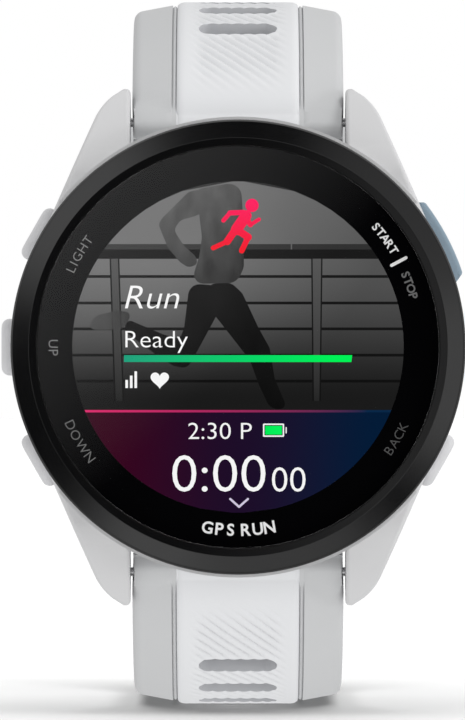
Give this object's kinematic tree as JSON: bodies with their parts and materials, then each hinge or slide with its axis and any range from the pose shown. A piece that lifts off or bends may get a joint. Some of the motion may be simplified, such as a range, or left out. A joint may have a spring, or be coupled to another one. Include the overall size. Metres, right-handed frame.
{
  "type": "gps running watch",
  "caption": "Round sports watch with side buttons, colour display, wrist sensor and a slotted two-part silicone strap with buckle.",
  "frame": {"origin": "centre of the sensor window's flat wrist face", "axes": "+X towards 3 o'clock, +Z towards 12 o'clock, +Y into the wrist; the dial faces -Y"},
  "size_m": [0.0432, 0.0825, 0.0673],
  "materials": {
    "case_polymer": "fine moulded satin, light grey",
    "cover_polymer": "fine moulded satin, dark grey",
    "bezel_black": "satin black",
    "lens_glass": "clear polished",
    "display": "colour display behind glass",
    "button_grey": "satin light grey",
    "button_blue": "satin blue-grey",
    "strap_grey": "matte silicone, light grey",
    "strap_white": "matte silicone, off-white",
    "seal_rubber": "matte",
    "frame_plastic": "moulded black",
    "flex_film": "amber film",
    "circuit_board": "solder mask",
    "battery_foil": "foil pouch",
    "steel": "fine brushed",
    "buckle_steel": "satin",
    "brass_disc": "plain",
    "gold_contact": "gold plated",
    "window_glass": "dark tinted",
    "lamp_lens": "clear epoxy",
    "vent_membrane": "woven membrane"
  },
  "bodies": {
    "case": {"mid_case": "case_polymer", "bezel": "bezel_black", "cover_lens": "lens_glass", "back_cover": "cover_polymer", "back_screws": "steel", "sensor_window": "window_glass", "display_panel": "display", "inner_frame": "frame_plastic", "display_flex": "flex_film", "main_board": "circuit_board", "board_shield": "steel", "battery_cell": "battery_foil", "vibration_motor": "steel", "buzzer": "brass_disc", "antenna_ring": "brass_disc", "back_seal": "seal_rubber", "lens_gasket": "seal_rubber", "sensor_board": "circuit_board", "sensor_leds": "lamp_lens", "tact_switches": "frame_plastic", "button_seals": "seal_rubber", "charge_contacts": "gold_contact", "pressure_vent": "vent_membrane", "spring_light": "steel", "spring_up": "steel", "spring_down": "steel", "spring_back": "steel", "spring_start": "steel"},
    "button_light": {"button_light": "button_grey", "clip_light": "steel"},
    "button_up": {"button_up": "button_grey", "clip_up": "steel"},
    "button_down": {"button_down": "button_grey", "clip_down": "steel"},
    "button_back": {"button_back": "button_grey", "clip_back": "steel"},
    "button_start": {"button_start": "button_blue", "clip_start": "steel"},
    "strap_upper": {"strap_upper": "strap_grey", "strap_upper_inlay": "strap_white", "bar_upper_tube": "steel", "bar_upper_pin": "steel", "bar_upper_spring": "steel", "keeper_fixed": "strap_grey"},
    "bar_upper_lever": {"bar_upper_lever": "steel"},
    "strap_lower": {"strap_lower": "strap_grey", "strap_lower_inlay": "strap_white", "bar_lower_tube": "steel", "bar_lower_pin": "steel", "bar_lower_spring": "steel"},
    "bar_lower_lever": {"bar_lower_lever": "steel"},
    "keeper_free": {"keeper_free": "strap_grey"},
    "buckle": {"buckle_frame": "buckle_steel", "buckle_pin": "steel"},
    "tongue": {"buckle_tongue": "buckle_steel"}
  },
  "joints": [
    {"name": "button_light_press", "type": "slide", "parent": "case", "child": "button_light", "axis": [0.8686, 0, -0.4955], "range_m": [0, 0.0006], "stiffness_N_per_m": 300, "springref_m": -0.001, "deforming": ["spring_light"]},
    {"name": "button_up_press", "type": "slide", "parent": "case", "child": "button_up", "axis": [1, 0, 0], "range_m": [0, 0.0006], "stiffness_N_per_m": 300, "springref_m": -0.001, "deforming": ["spring_up"]},
    {"name": "button_down_press", "type": "slide", "parent": "case", "child": "button_down", "axis": [0.8686, 0, 0.4955], "range_m": [0, 0.0006], "stiffness_N_per_m": 300, "springref_m": -0.001, "deforming": ["spring_down"]},
    {"name": "button_back_press", "type": "slide", "parent": "case", "child": "button_back", "axis": [-0.8686, 0, 0.4955], "range_m": [0, 0.0006], "stiffness_N_per_m": 300, "springref_m": -0.001, "deforming": ["spring_back"]},
    {"name": "button_start_press", "type": "slide", "parent": "case", "child": "button_start", "axis": [-0.8829, 0, -0.4695], "range_m": [0, 0.0006], "stiffness_N_per_m": 300, "springref_m": -0.001, "deforming": ["spring_start"]},
    {"name": "strap_upper_hinge", "type": "hinge", "parent": "case", "child": "strap_upper", "pos_m": [0, -0.0046, 0.021], "axis": [1, 0, 0], "range_deg": [0, 50]},
    {"name": "strap_lower_hinge", "type": "hinge", "parent": "case", "child": "strap_lower", "pos_m": [0, -0.0046, -0.021], "axis": [-1, 0, 0], "range_deg": [0, 50]},
    {"name": "bar_upper_release", "type": "slide", "parent": "strap_upper", "child": "bar_upper_lever", "axis": [-1, 0, 0], "range_m": [0, 0.0015], "stiffness_N_per_m": 200, "springref_m": -0.002, "deforming": ["bar_upper_spring"]},
    {"name": "bar_lower_release", "type": "slide", "parent": "strap_lower", "child": "bar_lower_lever", "axis": [-1, 0, 0], "range_m": [0, 0.0015], "stiffness_N_per_m": 200, "springref_m": -0.002, "deforming": ["bar_lower_spring"]},
    {"name": "keeper_slide", "type": "hinge", "parent": "strap_upper", "child": "keeper_free", "pos_m": [0, 0.01641, 0.0051], "axis": [1, 0, 0], "range_deg": [0, 45]},
    {"name": "buckle_hinge", "type": "hinge", "parent": "strap_upper", "child": "buckle", "pos_m": [0, 0.04276, 0.0051], "axis": [1, 0, 0], "range_deg": [-35, 35]},
    {"name": "tongue_hinge", "type": "hinge", "parent": "buckle", "child": "tongue", "pos_m": [0, 0.04276, 0.0051], "axis": [1, 0, 0], "range_deg": [0, 75]}
  ]
}
